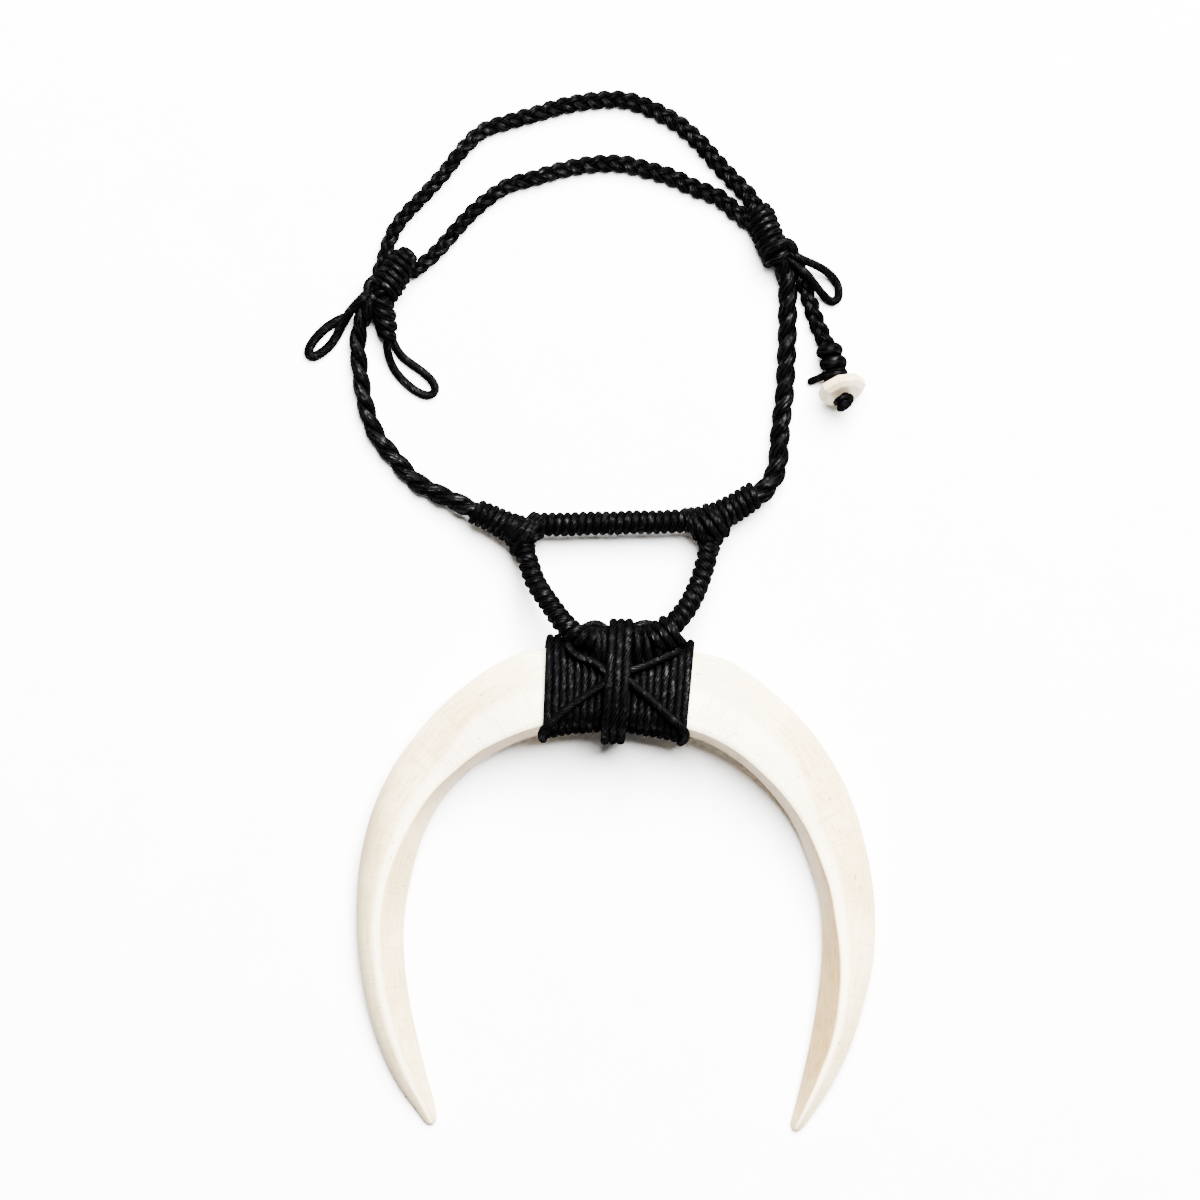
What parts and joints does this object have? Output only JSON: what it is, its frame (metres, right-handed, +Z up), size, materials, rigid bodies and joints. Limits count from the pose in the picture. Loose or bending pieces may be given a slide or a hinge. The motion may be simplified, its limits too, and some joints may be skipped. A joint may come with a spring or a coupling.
{
  "type": "boar tusk necklace",
  "caption": "Crescent of boar tusks lashed root to root with waxed cord, hung by a cord-wound yoke from twisted ropes and a braided neck loop with sliding knots and a bone toggle.",
  "frame": {"origin": "middle of the necklace's outline on the surface it lies on", "axes": "+X towards the right tusk, +Y from the tusks towards the nape of the neck, +Z up from the surface"},
  "size_m": [0.148, 0.27, 0.0251],
  "materials": {
    "ivory": "polished ivory-white tusk with fine growth lines and small pits",
    "bone": "smooth carved bone",
    "waxed_cord": "waxed twisted thread, soft sheen",
    "inner_cord": "waxed thread, mostly hidden under the windings"
  },
  "bodies": {
    "root": {"tusk_left": "ivory", "tusk_right": "ivory", "lashing_turns": "waxed_cord", "band_turns": "waxed_cord", "side_turns": "waxed_cord", "cross_cord_left": "waxed_cord", "cross_cord_right": "waxed_cord", "yoke_core": "inner_cord", "foot_cord": "waxed_cord", "leg_wrap_left": "waxed_cord", "leg_wrap_right": "waxed_cord", "crossbar_core": "inner_cord", "crossbar_wrap": "waxed_cord", "corner_wrap_left": "waxed_cord", "corner_wrap_right": "waxed_cord", "whip_left": "waxed_cord", "whip_right": "waxed_cord", "rope_left_ply_1": "waxed_cord", "rope_left_ply_2": "waxed_cord", "rope_right_ply_1": "waxed_cord", "rope_right_ply_2": "waxed_cord", "knot_left": "waxed_cord", "stub_wrap": "waxed_cord", "loop_left_outer": "waxed_cord", "loop_left_inner": "waxed_cord", "knot_right": "waxed_cord", "loop_right": "waxed_cord", "outer_braid_1": "waxed_cord", "outer_braid_2": "waxed_cord", "outer_braid_3": "waxed_cord", "inner_braid_1": "waxed_cord", "inner_braid_2": "waxed_cord", "inner_braid_3": "waxed_cord", "tail_braid_1": "waxed_cord", "tail_braid_2": "waxed_cord", "tail_braid_3": "waxed_cord", "stopper_knot": "waxed_cord", "cut_end": "waxed_cord", "toggle_bead": "bone", "toggle_cord": "inner_cord", "end_knot": "waxed_cord"}
  },
  "joints": []
}
